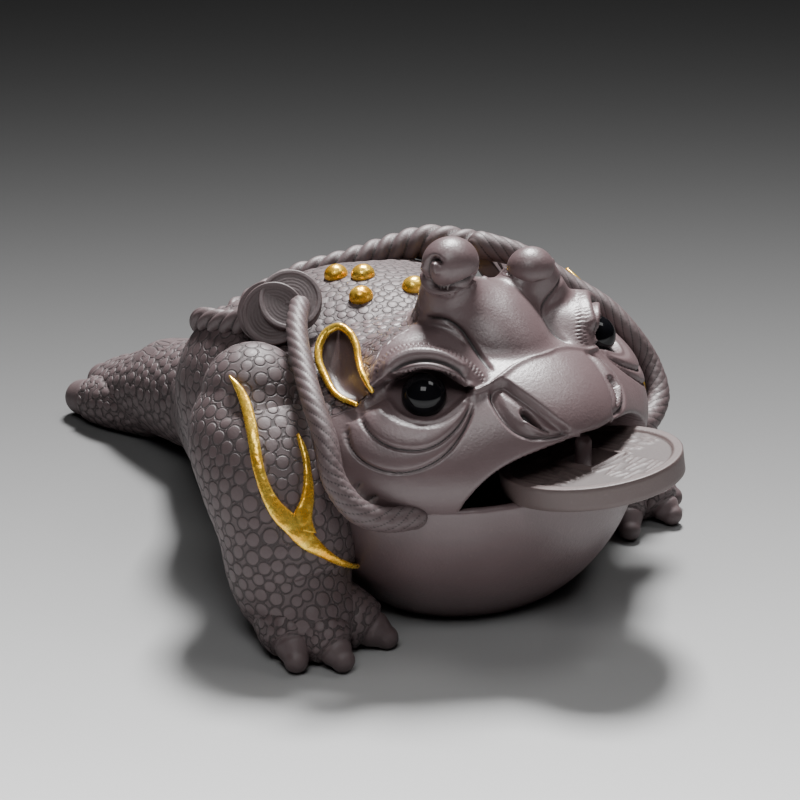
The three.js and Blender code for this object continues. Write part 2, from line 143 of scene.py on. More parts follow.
def egg(p, centre, radii, turn=None, power=2):
    """Nearly the distance to an ellipsoid: the scaled length less one, over its slope. A power
    under 2 draws it in towards its axes."""
    q = p - centre
    if turn is not None:
        q = q @ turn
    u = np.abs(q / radii)
    k = np.maximum((u**power).sum(-1) ** (1 / power), 1e-6)
    slope = np.linalg.norm(u ** (power - 1) / radii, axis=-1) * k ** (1 - power)
    return (k - 1) / np.maximum(slope, 1e-6)


def rod(p, path, radii):
    """The distance to a chain of straight rods whose radius changes evenly along each of them."""
    best = np.full(p.shape[:-1], 1e9)
    for a, b, ra, rb in zip(path[:-1], path[1:], radii[:-1], radii[1:]):
        ab = b - a
        t = np.clip(((p - a) @ ab) / (ab @ ab), 0, 1)
        away = np.linalg.norm(p - a - t[..., None] * ab, axis=-1)
        best = np.minimum(best, away - (ra + (rb - ra) * t))
    return best


def merged(a, b, width):
    """The lesser of two fields, with a fillet of the given width where they meet."""
    h = np.clip(0.5 + 0.5 * (b - a) / width, 0, 1)
    return b * (1 - h) + a * h - width * h * (1 - h)


def cut(a, b, width):
    """What of a lies outside b, with a rounded edge."""
    return -merged(-a, b, width)


def slope_of(field, p):
    """The unit normal of a field, from its differences over short ways along the three axes."""
    return unit(np.stack([field(p + e) - field(p - e) for e in SHORT_WAY * np.eye(3)], -1))


def spanned(edges, rows, v):
    """Places between two edges, at the shares v of the way across, in rows along them."""
    first, last = (smooth_path(edge, rows)[:, None] for edge in edges)
    return first * (1 - v[:, None]) + last * v[:, None]


def crowded(count, low, high, peaks, loop=False):
    """Angles from low to high that stand closer round some of them: (angle, width, weight)."""
    t = np.linspace(low, high, 4000)
    density = 1 + sum(weight * np.exp(-(((t - at) / width) ** 2)) for at, width, weight in peaks)
    share = np.concatenate([[0], np.cumsum((density[1:] + density[:-1]) / 2)])
    return np.interp(np.linspace(0, share[-1], count, endpoint=not loop), share, t)


def cast(field, centre, polar, turn, pole="x", reach=75.0):
    """A closed skin: on each line from a centre in the form, given by its angles from the pole and
    round it, the outermost place where the field is nought, in steps of nine tenths of it."""
    polar, turn = polar[:, None], turn[None]
    a = np.cos(polar) + 0 * turn
    b, c = np.sin(polar) * np.cos(turn), np.sin(polar) * np.sin(turn)
    line = np.stack({"x": (a, b, c), "y": (c, a, b), "z": (b, c, a)}[pole], -1)
    r = np.full(line.shape[:-1], reach)
    for _ in range(CAST_STEPS):
        r = np.maximum(r - 0.9 * field(centre + r[..., None] * line), 0.5)
    return centre + r[..., None] * line


def normals_of(grid):
    """The unit normals of a closed grid of rings: the cross product of its two slopes."""
    around = np.roll(grid, -1, 1) - np.roll(grid, 1, 1)
    along = np.gradient(grid, axis=0)
    n = np.cross(around, along)
    n[0] = n[1].mean(0)
    n[-1] = n[-2].mean(0)
    n = unit(n)
    return n if (n * (grid - grid.mean((0, 1)))).sum() > 0 else -n


def ring_frame(path, up):
    """The tangent of a path at each point, and the two directions across it."""
    tangent = unit(np.gradient(path, axis=0))
    side = unit(np.cross(tangent, up))
    return tangent, side, np.cross(side, tangent)


def tube(points, radii, rows, cols, up=(0, 0, 1), flat=1.0, cap=8):
    """Rings along a smooth path with round ends. Returns the grid, the length along it and the
    angle round it. Each ring may be flattened across the side direction."""
    flat = np.full(len(points), flat)
    spread = np.interp(np.linspace(0, 1, len(points)), np.linspace(0, 1, len(radii)), radii)
    data = smooth_path(np.column_stack([points, spread, flat]), rows)
    path, radius, press = data[:, :3], data[:, 3], data[:, 4]
    tangent, side, rise = ring_frame(path, up)
    bend = np.linspace(0, math.pi / 2, cap + 1)[:-1]
    first = path[0] - tangent[0] * (radius[0] * np.cos(bend))[:, None]
    last = path[-1] + tangent[-1] * (radius[-1] * np.cos(bend[::-1]))[:, None]

    def ends(values):
        return np.pad(values, [(cap, cap)] + [(0, 0)] * (values.ndim - 1), "edge")

    path = np.concatenate([first, path, last])
    shrink = np.concatenate([np.sin(bend), np.ones(rows), np.sin(bend[::-1])])
    radius, press, side, rise = ends(radius) * shrink, ends(press), ends(side), ends(rise)
    angle = math.tau * np.arange(cols) / cols
    across = np.cos(angle)[None, :, None] * side[:, None]
    above = (np.sin(angle) * press[:, None])[..., None] * rise[:, None]
    grid = path[:, None] + radius[:, None, None] * (across + above)
    length = np.concatenate([[0], np.cumsum(np.linalg.norm(np.diff(path, axis=0), axis=1))])
    return grid, length[:, None] + 0 * angle, angle[None] + 0 * length[:, None]


# ---- strokes in the picture
def to_line(pixels, line):
    """The distance of each pixel from a line of straight runs, and how far along it that is."""
    best = np.full(len(pixels), 1e9)
    where = np.zeros(len(pixels))
    start = 0.0
    for a, b in zip(line[:-1], line[1:]):
        ab = b - a
        length = max(math.hypot(*ab), 1e-6)
        t = np.clip((pixels - a) @ ab / length**2, 0, 1)
        d = np.linalg.norm(pixels - a - t[:, None] * ab, axis=1)
        near = d < best
        best[near], where[near] = d[near], (start + t * length)[near]
        start += length
    return best, where, start


def in_outline(pixels, outline):
    """The distance of each pixel inside a closed outline, and minus it outside."""
    ring = np.concatenate([outline, outline[:1]])
    inside = np.zeros(len(pixels), bool)
    for a, b in zip(ring[:-1], ring[1:]):
        crosses = (a[1] > pixels[:, 1]) != (b[1] > pixels[:, 1])
        at = a[0] + (pixels[:, 1] - a[1]) * (b[0] - a[0]) / (b[1] - a[1] if b[1] != a[1] else 1e-9)
        inside ^= crosses & (pixels[:, 0] < at)
    d = to_line(pixels, ring)[0]
    return np.where(inside, d, -d)


def stroke(pixels, points, width, taper):
    """A soft line through points, 1 on it and fading beyond its width and towards its ends, and
    how far along it each pixel is."""
    d, where, length = to_line(pixels, smooth_path(points, STROKE_POINTS))
    ends = step(0, taper, where) * step(0, taper, length - where) if taper else 1
    return np.exp(-((d / width) ** 2)) * ends, where


# ---- skin cells
def nearest(points, cells):
    """For each point: the number of the nearest cell, its distance, and that of the next one."""
    c = cells.astype(np.float32)
    square = (c**2).sum(1)
    out = []
    for start in range(0, len(points), 4000):
        p = points[start : start + 4000].astype(np.float32)
        d = (p**2).sum(1)[:, None] - 2 * p @ c.T + square
        row = np.arange(len(p))
        first = d.argmin(1)
        near = d[row, first].copy()
        d[row, first] = 1e9
        out.append(np.stack([first, *np.sqrt(np.maximum([near, d.min(1)], 0))]))
    return np.concatenate(out, 1)


def scattered(points, spacing, seed):
    """Places on a skin that keep a spacing, which may depend on the place: each one taken clears
    the places round it. Then each moves to the middle of what lies nearest to it."""
    order = np.random.default_rng(seed).permutation(len(points))[:POOL]
    chosen = points[order]
    left = chosen
    kept = []
    while len(left):
        kept.append(left[0])
        gap = spacing(left[0]) if callable(spacing) else spacing
        left = left[((left - left[0]) ** 2).sum(1) > gap**2]
    cells = np.array(kept)
    for _ in range(2):
        own = nearest(chosen, cells)[0].astype(int)
        count = np.maximum(np.bincount(own, minlength=len(cells)), 1)
        cells = np.stack([np.bincount(own, chosen[:, k], len(cells)) / count for k in range(3)], 1)
    return cells


def cells_on(grid, spacing, seed):
    """Round skin cells of a grid: how high each place stands, from 0 between cells to 1, and its
    distance from its cell's middle as a share of the radius, which is half the way to the next
    cell. The crown is part of an ellipsoid and goes a little past that."""
    places = grid.reshape(-1, 3)
    cells = scattered(places, spacing, seed)
    radius = 0.5 * nearest(cells, cells)[2]
    own, near, _ = nearest(places, cells)
    reach = near / radius[own.astype(int)]
    crown = np.sqrt(np.clip(1.15 - reach**2, 0, 1)) / 1.07
    return crown.reshape(grid.shape[:2]), reach.reshape(grid.shape[:2])


# ---- meshes
def placed(name, data):
    """A new object of the scene that holds a mesh, a light or the camera."""
    made = bpy.data.objects.new(name, data)
    bpy.context.scene.collection.objects.link(made)
    return made


def skin(name, grid, finish, node="toad", slot="clay", shade_relief=None, reach=None, closed_rows=False):
    """Builds a piece from a grid of rings. The first and last ring shrink to a point each, or the
    rings close on each other. The finishes read relief, 0 in a furrow to 1, which sets painted
    shade in furrows, and reach."""
    rows, cols = grid.shape[:2]

    def listed(values):
        """Values in the order of the mesh's places: the rings, and then the two ends."""
        values = values.reshape(rows, cols, -1)
        whole = values if closed_rows else values[1:-1]
        ends = values[[0, -1]].mean(1)[: 0 if closed_rows else 2]
        return np.concatenate([whole.reshape(-1, values.shape[-1]), ends])

    places = listed(grid)
    index = np.arange(len(places) // cols * cols).reshape(-1, cols)
    low, high = index[:-1], index[1:]
    if closed_rows:
        low, high = index, np.roll(index, -1, 0)
    quads = np.stack([low, np.roll(low, -1, 1), np.roll(high, -1, 1), high], -1).reshape(-1, 4)
    triangles = np.zeros((0, 3), int)
    if not closed_rows:
        south, north = len(places) - 2, len(places) - 1
        head, tail = index[0], index[-1]
        triangles = np.concatenate([
            np.stack([np.roll(head, -1), head, np.full(cols, south)], -1),
            np.stack([tail, np.roll(tail, -1), np.full(cols, north)], -1),
        ])
    v = places - places.mean(0)
    fans = np.concatenate([quads[:, [0, 1, 2]], quads[:, [0, 2, 3]], triangles])
    volume = (v[fans[:, 0]] * np.cross(v[fans[:, 1]], v[fans[:, 2]])).sum()
    if volume < 0:
        quads, triangles = quads[:, ::-1], triangles[:, ::-1]
    mesh = bpy.data.meshes.new(name)
    mesh.vertices.add(len(places))
    mesh.vertices.foreach_set("co", (places * MM).astype(np.float32).ravel())
    loops = np.concatenate([quads.ravel(), triangles.ravel()]).astype(np.int32)
    sizes = np.concatenate([np.full(len(quads), 4), np.full(len(triangles), 3)]).astype(np.int32)
    mesh.loops.add(len(loops))
    mesh.loops.foreach_set("vertex_index", loops)
    mesh.polygons.add(len(sizes))
    mesh.polygons.foreach_set("loop_start", (np.cumsum(sizes) - sizes).astype(np.int32))
    mesh.polygons.foreach_set("loop_total", sizes)
    mesh.update(calc_edges=True)
    mesh.polygons.foreach_set("use_smooth", np.ones(len(sizes), bool))
    for title, field, plain in (("shade_relief", shade_relief, 1.0), ("reach", reach, NO_CELL)):
        layer = mesh.attributes.new(title, "FLOAT", "POINT")
        values = np.full((rows, cols), plain) if field is None else field
        layer.data.foreach_set("value", listed(values).astype(np.float32).ravel())
    mesh.validate()
    mesh.materials.append(finish)
    piece = placed(name, mesh)
    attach(piece, "root")
    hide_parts(node)


def both_sides(name, grid, finish, **settings):
    """The piece made for the toad's right side, and its mirror image for the left."""
    skin(name + "_right", grid, finish, **settings)
    skin(name + "_left", grid * MIRROR, finish, **settings)


# ---- finishes
class Value:
    """A socket of a material. Arithmetic on it adds Math nodes."""

    def __init__(self, finish, socket):
        self.finish, self.socket = finish, socket

    def maths(self, operation, *others):
        return self.finish.node("Math", dict(enumerate((self, *others))), operation=operation)

    def __add__(self, other):
        return self.maths("ADD", other)

    __radd__ = __add__

    def __sub__(self, other):
        return self.maths("SUBTRACT", other)

    def __rsub__(self, other):
        return (self * -1) + other

    def __mul__(self, other):
        return self.maths("MULTIPLY", other)

    __rmul__ = __mul__

    def at_least(self, low):
        return self.maths("MAXIMUM", low)

    def between(self, low, high):
        """0 below low and 1 above high, eased between them."""
        inputs = {"Value": self, "From Min": low, "From Max": high}
        return self.finish.node("MapRange", inputs, interpolation_type="SMOOTHSTEP")


class Finish:
    """A material with one shader. node() adds any node, and feed() links a value to the shader."""

    def __init__(self, name, colour, roughness, **plain):
        self.material = bpy.data.materials.new(name)
        self.material.use_nodes = True
        self.tree = self.material.node_tree
        self.shader = self.tree.nodes["Principled BSDF"].inputs
        self.shader["Base Color"].default_value = (*colour, 1)
        self.shader["Roughness"].default_value = roughness
        for socket, value in plain.items():
            self.shader[socket.replace("_", " ")].default_value = value
        self.places = self.node("TexCoord", output="Object")

    def node(self, kind, inputs=None, output=0, **settings):
        made = self.tree.nodes.new("ShaderNode" + kind)
        for key, value in settings.items():
            setattr(made, key, value)
        for key, value in (inputs or {}).items():
            if isinstance(value, Value):
                self.tree.links.new(value.socket, made.inputs[key])
            else:
                made.inputs[key].default_value = value
        return Value(self, made.outputs[output])

    def feed(self, socket, value):
        self.tree.links.new(value.socket, self.shader[socket])

    def noise(self, size, detail=2.0, roughness=0.5):
        """Cloudy noise from 0 to 1 whose lumps are about this many millimetres across."""
        inputs = {"Scale": 1 / (size * MM), "Detail": detail, "Roughness": roughness}
        return self.node("TexNoise", {"Vector": self.places, **inputs})

    def field(self, name):
        """What skin() stored under this name at each place."""
        return self.node("Attribute", output="Fac", attribute_name=name)

    def blend(self, share, low, high):
        """Goes from the colour low to the colour high with share."""
        low, high = [v if isinstance(v, Value) else (*v, 1) for v in (low, high)]
        return self.node("Mix", {0: share, 6: low, 7: high}, 2, data_type="RGBA")

    def bump(self, height, depth_mm):
        """Roughens the shader's normal by a height of so many millimetres."""
        inputs = {"Height": height, "Distance": depth_mm * MM, "Strength": 1.0}
        self.feed("Normal", self.node("Bump", inputs, "Normal"))


def clay_finish(name, pale, shade_colour, roughness, grain_depth, furrow, cell_depth=0.0):
    """Unglazed clay: fine grain, faint clouding, a soft polish on what is high, and painted shade
    where the relief is below what furrow says. Where reach is small, cells: a parabola, ringed by a
    line of painted shade in its groove."""
    f = Finish(name, pale, roughness, Specular_IOR_Level=0.75)
    high = f.field("shade_relief").between(0.0, furrow)
    grain = f.noise(0.35, 3, 0.6)
    surface = (grain + f.noise(1.6, 2) * 0.8) * grain_depth
    if cell_depth:
        reach = f.field("reach")
        past = reach - 1.05
        ring = 1 - (past * past).between(0.0, 0.035)
        bead = (1.1 - reach * reach).at_least(0)
        cells = reach.between(2.6, 2.0)
        surface = surface + cells * (bead * 0.15 - ring * 0.6 + 0.4) * cell_depth
        # Painted shade: a ring of darker colour in the groove round each cell.
        high = high * (1 - 0.75 * cells * ring)
    clouds = f.noise(9, 3).between(0.3, 0.7)
    speck = f.noise(0.8, 2).between(0.66, 0.72)
    lit = f.blend(clouds * 0.5, pale, tuple(0.8 * c for c in pale))
    lit = f.blend(speck * 0.2, lit, tuple(1.5 * c for c in pale))
    # Painted shade: where the relief is low, in furrows, the colour goes to the shaded one.
    f.feed("Base Color", f.blend(high, shade_colour, lit))
    f.feed("Roughness", roughness + 0.2 - 0.2 * high + (grain - 0.5) * 0.25)
    f.bump(surface, 1.0)
    return f.material


def gold_finish():
    """Metallic gold paint: warm, a little uneven in depth and gloss, browner where it is thin."""
    f = Finish("gold_paint", (0.95, 0.6, 0.14), 0.4, Metallic=0.72)
    pools = f.noise(2.5, 2).between(0.15, 0.75)
    f.feed("Base Color", f.blend(pools, (0.92, 0.4, 0.015), (1.0, 0.68, 0.1)))
    f.feed("Roughness", 0.2 + 0.14 * f.noise(0.5, 2))
    f.bump(f.noise(0.9, 2), 0.12)
    return f.material


def glass_finish():
    """Polished black glass, with a faint smear that softens its gloss."""
    f = Finish("black_glass", (0.004, 0.004, 0.005), 0.03, Specular_IOR_Level=0.22)
    f.feed("Roughness", 0.02 + 0.05 * f.noise(3, 2))
    f.feed("Base Color", f.blend(f.noise(2, 2), (0.002, 0.002, 0.003), (0.006, 0.006, 0.007)))
    return f.material


# The second colour of each clay is its painted shade, for furrows, grooves and the gaps between
# cells.
CLAY = clay_finish("smooth_clay", (0.13, 0.088, 0.091), (0.016, 0.01, 0.011), 0.4, 0.042, 0.5, 0.16)
SKIN = clay_finish("scaled_clay", (0.1, 0.068, 0.07), (0.02, 0.013, 0.013), 0.56, 0.03, 0.35, 0.16)
COIN = clay_finish("coin_clay", (0.105, 0.073, 0.07), (0.02, 0.013, 0.012), 0.52, 0.03, 0.5)
GOLD = gold_finish()
GLASS = glass_finish()

# ---- the forms, close to those of the solids
TRUNK = dict(centre=[0, -6, 16], radii=[25, 29, 23])
RUMP = dict(centre=[0, 14, 12], radii=[16, 17, 13])
SKULL = dict(centre=[0, -18.8, 22.6], radii=[29.6, 28, 14.8])
MUZZLE = dict(centre=[-0.5, -33.8, 26.6], radii=[14.0, 13.6, 9])
DOME = dict(centre=[0, -26.3, 33.4], radii=[8.7, 10.2, 9.6])
DOME_FOOT = dict(centre=[0, -31, 32], radii=[6, 7.5, 6])
BROW = dict(centre=[-13.5, -28.5, 33.5], radii=[8, 9, 5.2], turn=turned(8, -16, -20))
FACE = facing_frame([-0.632, -0.678, 0.375])
PIT_PLACE = np.array([-14.7, -30.9, 32.7]) + [0, -4, 2] @ FACE
EYE_PIT = dict(centre=PIT_PLACE, radii=[8.2, 7.0, 6], turn=FACE.T)
SHOULDER = dict(centre=[-21.5, -11, 24.5], radii=[9.5, 10.5, 9], turn=turned(0, 20, 0))
FLANK = dict(centre=[-14, 2, 23], radii=[11, 14, 12])
MOUTH_WELL = dict(centre=[0, -35, 19.3], radii=[19, 12, 8])
MOUTH = dict(centre=[0, -42.8, 19.3], radii=[17.6, 14, 9.4], power=1.8)
JAW = dict(centre=[0, -25.4, 19.4], radii=[25.6, 21.2, 24])
LOWER_LIP = 19.3
HEAD_FOOT = 16  # the level at which the head ends below
HIND_LEG = np.array([[0, 12, 11], [0, 28, 10], [0, 42, 7.8], [1, 54, 5]])
HIND_RADII = np.array([13, 10, 8.6, 8])
MIRROR = np.array([-1.0, 1.0, 1.0])
HORN_TIP = np.array([-6.3, -27.2, 47.1])
HORN_NECK = np.array([[-3.9, -24.8, 37.5], [-5.1, -25.5, 41.4], [-5.9, -26.2, 44.4]])
LEFT_TIP = np.array([7.9, -28.0, 43.3])
LEFT_SIZE = 0.86
LEFT_FLANK = np.array([[8.8, -27.8, 42.6], [12.4, -27.3, 36.0]])  # from left curl to brow


def left_horn(places):
    """Places of the right horn carried over to the left one, which is smaller and lower."""
    return LEFT_TIP + (places - HORN_TIP) * MIRROR * LEFT_SIZE


def mirrored(p):
    """Points folded onto the toad's right side."""
    q = p.copy()
    q[..., 0] = -np.abs(q[..., 0])
    return q


def trunk_field(p):
    """Trunk, rump, shoulders and the root of the hind leg, filleted and cut flat below."""
    d = merged(egg(p, **TRUNK), egg(p, **RUMP), 6)
    d = merged(d, rod(p, HIND_LEG[:3], HIND_RADII[:3] * 0.94), 5)
    d = merged(d, egg(mirrored(p), **FLANK), 5)
    d = merged(d, egg(mirrored(p), **SHOULDER), 4)
    d = cut(d, egg(p, **MOUTH_WELL), 1)
    return np.maximum(d, -p[..., 2])


def head_field(p):
    """Skull, muzzle, dome and brows, with the arch of the mouth cut from below. Under the level
    of the lower lip the arch goes straight down."""
    d = merged(egg(p, **SKULL), egg(p, **MUZZLE), 4)
    q = mirrored(p)
    d = merged(d, cut(egg(q, **BROW), egg(q, **EYE_PIT), 0.7), 2.0)
    dome = merged(egg(p, **DOME), egg(p, **DOME_FOOT), 3)
    dome = merged(dome, rod(p, HORN_NECK, [4.6, 3.9, 3.3]), 3.5)
    dome = merged(dome, rod(p, left_horn(HORN_NECK), [3.9, 3.3, 2.8]), 3)
    dome = merged(dome, rod(p, LEFT_FLANK, [2.9, 4.0]), 3)
    d = merged(d, dome, 1.0)
    level = p.copy()
    level[..., 2] = np.maximum(level[..., 2], LOWER_LIP)
    d = cut(d, egg(level, **MOUTH), 0.8)
    return np.maximum(d, HEAD_FOOT - p[..., 2])


# ---- head
# Lines of the carved face, in pixels of the photograph, on the toad's right side.
EYE_OPENING = [
    (387, 394), (391, 383), (404, 373), (419, 368.5), (433.6, 369), (450, 375.5), (463, 384),
    (474, 389), (467, 397), (459.5, 403), (448, 412.5), (433.6, 419), (419, 419), (404, 415),
    (393, 407),
]
UPPER_LID = [
    (385, 392), (391, 380), (404, 370.5), (419, 366), (433.6, 366.5), (450, 373), (463, 382),
    (475, 389),
]
LID_CREASE = [
    (383, 388), (390, 374), (404, 364), (422, 360.5), (441, 363), (459.5, 372.5), (474, 384),
]
LOWER_LID = [
    (386, 397), (393, 410), (404, 418.5), (419, 422.5), (433.6, 422.5), (448, 416), (460, 406.5),
    (473, 394),
]
BROW_RIDGE = [
    (375, 382), (380, 366), (389, 357), (400, 351), (413, 348.5), (426, 348.5), (441, 352),
    (456, 358), (467, 365), (478, 374.5), (486, 385),
]
BROW_EDGE = [
    (422, 319), (433, 318.5), (448, 321), (459, 328), (469, 340), (479, 353.5), (488, 365),
    (494, 373),
]
UPPER_BAG = [
    (363, 412), (363, 420), (367, 429), (376, 439), (389, 446.7), (404, 450.4), (419, 450.8),
    (433.6, 446.7), (446.5, 438.4), (457.6, 427.3), (467, 412.5), (472, 401),
]
LOWER_BAG = [
    (347.6, 424), (347.6, 431), (349.4, 444), (357.7, 457), (370.7, 466), (387, 471.6),
    (404, 472.6), (422.5, 468), (437, 460.5), (450, 449.5), (461, 434.7), (468.7, 420), (474, 404),
]
FINE_FOLDS = [[(452, 440), (461, 427), (468, 413)], [(456, 441), (464, 429), (471, 413)]]
PLATE_TOP = [
    (474, 391), (489, 386.6), (503, 377), (515, 368), (529.7, 360.7), (546.4, 356), (566, 352),
    (586, 350),
]
NOSTRIL_LEAF = [
    (492, 387), (490.5, 397.7), (496.4, 410.6), (505.7, 423.6), (516.8, 432.8), (529.7, 437.8),
    (544.5, 438.4), (557.5, 436.9), (569, 432), (555.6, 420.8), (542.7, 409.7), (529.7, 399.5),
    (515, 389.4), (503.8, 382),
]
LEAF_LOWER = NOSTRIL_LEAF[:9]
LEAF_UPPER = NOSTRIL_LEAF[8:]
NOSTRIL = [
    (521, 411), (524, 408), (529, 411), (536, 419), (545, 428), (550, 431), (541, 428), (531, 423),
    (524, 418),
]
CHEEK_CREASES = [[(352, 495), (356, 488), (364, 482)], [(365, 507), (370, 500), (379, 495)]]
SCALED = [
    (374, 400), (371, 384), (374, 366), (383, 349), (396, 338), (410, 330), (421, 321), (421, 180),
    (250, 180), (250, 420), (330, 420),
]
CURL_GROOVE = [
    (440, 258.5), (433, 257.5), (428, 262), (426.5, 271), (429, 280), (436, 287), (446, 288.5),
    (458, 285), (470, 279.5), (481, 273),
]
CURL_RIM = [
    (421.5, 262), (422, 273), (425.5, 284), (433, 291), (444, 293), (457, 289.5), (469, 284),
    (480, 278),
]
CURL_PIT = [(433, 258.5), (437, 259.5), (440, 262)]
CURL_DROP = [(435.5, 264.5), (436, 268), (437, 272)]
EAR_INNER = [(372, 391), (363, 375.5), (358.5, 360), (355.4, 343), (347.7, 331), (338.5, 326.5)]
EAR_OUTER = [
    (356, 404.6), (337, 395), (324.8, 375.5), (318.6, 360), (320, 343), (327.8, 331),
    (338.5, 326.5),
]
BROW_ROLL = [
    (384, 378), (391, 366), (404, 357.5), (420, 355), (438, 357.5), (455, 365.5), (468, 376),
]
PLATE_END = [(640, 430), (590, 460), (569, 432)]
NOSTRIL_RIM = [(524, 420), (533, 427), (545, 433), (552, 434)]
UPPER_BAG_BACK = [(440, 400), (385, 400)]
LOWER_BAG_BACK = [(440, 400), (385, 405)]
STIPPLES = ((-2.4, 0.0, 0.3), (1.8, 2.2, 0.2))  # pixels below the ridge, phase, depth
TOOTH = 4.4  # pixels from notch to notch of the brow ridge
FOLD_WIDTH = 16.0  # pixels over which a bag under the eye rises
EAR_WIDTH, EAR_DEPTH = 11, 2.6  # pixels in from the edge to full depth, and millimetres
SEEN = 0.02  # least slope towards the camera of a carved place
CELL = 1.25  # millimetres that the cells of the back keep apart
CELL_RISE = 0.08  # from the furrow to the crown of a cell
SHADE = 0.25  # relief of the furrow between cells


def curl(pixels):
    """The carved roll of a horn in the picture: the height of its rims and its drop less its groove
    and its pit, and how deep in a furrow each place is, which is painted as shade."""
    lines = ((CURL_GROOVE, 1.9, 5), (CURL_PIT, 2.4, 0), (CURL_RIM, 2.2, 8), (CURL_DROP, 2.4, 0))
    groove, pit, rim, drop = (stroke(pixels, *line)[0] for line in lines)
    return 0.4 * rim + 0.55 * drop - 0.65 * groove - 0.8 * pit, np.maximum(groove, pit)


def ear_hollow(pixels):
    """How deep the skin sinks within an ear's outline: half an ellipse across it."""
    outline = np.concatenate([smooth_path(EAR_INNER, 24), smooth_path(EAR_OUTER, 24)[::-1]])
    return EAR_DEPTH * rounded(in_outline(pixels, outline) / EAR_WIDTH)


def fold(pixels, line, back, height):
    """A puffy fold: it rises from nought at its far side, rolls over at its outline and drops."""
    outline = np.concatenate([back[-1:], smooth_path(line, STROKE_POINTS), back])
    inside = in_outline(pixels, outline)
    edge = to_line(pixels, outline[:-len(back)])[0]
    return np.where(inside > 0, height * rounded(edge / FOLD_WIDTH), 0)


def carve(grid, normals):
    """For each place of the head: the height that carving adds, and how far it is in a furrow,
    where the finish paints shade, in the scaled skin and in the eye's opening. The toad's left is
    looked up at its mirror image, and what turns away from the camera stays uncarved."""
    side = np.where(grid[..., :1] > 0, MIRROR, 1.0)
    folded = (grid * side).reshape(-1, 3)
    x, _, z = grid.reshape(-1, 3).T
    facing = ((normals * side).reshape(-1, 3) * (VIEWPOINT - folded)).sum(1) / DISTANCE
    px = in_picture(folded)
    seen = step(SEEN, 0.2, facing)
    far_side = step(1, 9, x)
    height = np.zeros(len(px))
    furrow = np.zeros(len(px))

    def draw(width, taper, rise, *lines):
        """Strokes that raise the skin or, where rise is negative, sink it and paint shade in it."""
        nonlocal height, furrow
        for points in lines:
            line = stroke(px, points, width, taper)[0]
            height = height + rise * line
            if rise < 0:
                furrow = np.maximum(furrow, line * min(1, -rise / 0.35))

    # bags under the eye, and folds beside them
    eye = in_outline(px, smooth_path(EYE_OPENING, 60, closed=True))
    bags = fold(px, LOWER_BAG, LOWER_BAG_BACK, 0.5) + fold(px, UPPER_BAG, UPPER_BAG_BACK, 0.5)
    height = height + bags * step(-2, 15, -eye)
    draw(1.5, 12, -0.42, LOWER_BAG, UPPER_BAG)
    draw(1.1, 5, -0.16, *FINE_FOLDS)
    draw(1.8, 5, -0.45, *CHEEK_CREASES)

    # brow and lids
    draw(5.0, 14, 0.4, BROW_RIDGE)
    draw(5.5, 12, 0.9, BROW_ROLL)
    draw(2.0, 16, -0.55, LID_CREASE)
    draw(2.4, 8, 0.5, UPPER_LID)
    draw(2.8, 8, 0.45, LOWER_LID)
    opening = step(-1.2, 2.4, eye)
    # Painted shade in the eye's opening, round the bead.
    furrow = np.maximum(furrow, 0.55 * opening)
    # Stipples of the brow ridge: sunk dots, with painted shade in each.
    for offset, phase, depth in STIPPLES:
        row, along = stroke(px, np.array(BROW_RIDGE) + [0, offset], 1.5, 8)
        wave = np.cos(math.tau * along / TOOTH + phase + 0.9 * np.sin(along / 7))
        dots = row * (0.5 + 0.5 * wave) ** 2
        height = height - depth * dots
        furrow = np.maximum(furrow, dots)
    draw(2.4, 10, -0.45, BROW_EDGE)

    # plate, leaves and holes of the nose
    outline = np.concatenate([smooth_path(PLATE_TOP, 30), PLATE_END, LEAF_UPPER])
    plate = (1 - 0.7 * far_side) * step(-3.5, 0.5, in_outline(px, outline))
    height = height + 0.55 * plate * (1 - step(425, 452, px[:, 1]))
    draw(2.4, 10, 0.3, PLATE_TOP)
    leaf = in_outline(px, smooth_path(NOSTRIL_LEAF, 60, closed=True))
    sunk = (0.75 - 0.6 * far_side) * step(-1.5, 2.5, leaf)
    height = height - sunk + 0.5 * step(2, 14, leaf)
    draw(1.8, 6, -0.4, LEAF_LOWER)
    draw(1.4, 6, -0.2, LEAF_UPPER)
    # The nostril sinks, with painted shade in it.
    hole = step(-1.5, 2.5, in_outline(px, smooth_path(NOSTRIL, STROKE_POINTS, closed=True)))
    height = height - 1.5 * hole
    furrow = np.maximum(furrow, hole)
    draw(1.8, 4, 0.3, NOSTRIL_RIM)

    # the root of the right curl, the ears, and the skin behind the face
    own = step(36, 38, z) * step(2, 1, x)
    # The curl's groove and pit carry painted shade.
    rolled, deep = curl(px)
    height, furrow = height + own * rolled, np.maximum(furrow, own * deep)
    hollow = ear_hollow(px)
    height, furrow = (height - hollow) * seen, furrow * seen
    edge = step(-4, 4, in_outline(px, SCALED))
    scaled = np.where(facing > SEEN, edge, 1.0)
    y = folded[:, 1]
    scaled = np.maximum(scaled * step(-31, -27, y), step(-21, -18, y))
    scaled = scaled * step(0.3, 1.2, egg(folded, **DOME)) * (1 - step(0, 0.6, hollow * seen))
    shape = grid.shape[:2]
    return tuple(v.reshape(shape) for v in (height, furrow, scaled, opening * seen))


HEAD_CENTRE = [0, -21.0, 28.5]
ALONG = crowded(300, 0, math.pi, [(math.pi - 1.05, 0.55, 2.6), (1.05, 0.4, 0.5)])[::-1]
ROUND = crowded(300, 0, math.tau, [(2.85, 0.7, 3.2)], loop=True)
head = cast(head_field, HEAD_CENTRE, ALONG, ROUND)
head_normals = normals_of(head)
height, furrow, scaled, opening = carve(head, head_normals)
rough, reach = cells_on(head, CELL, 3)
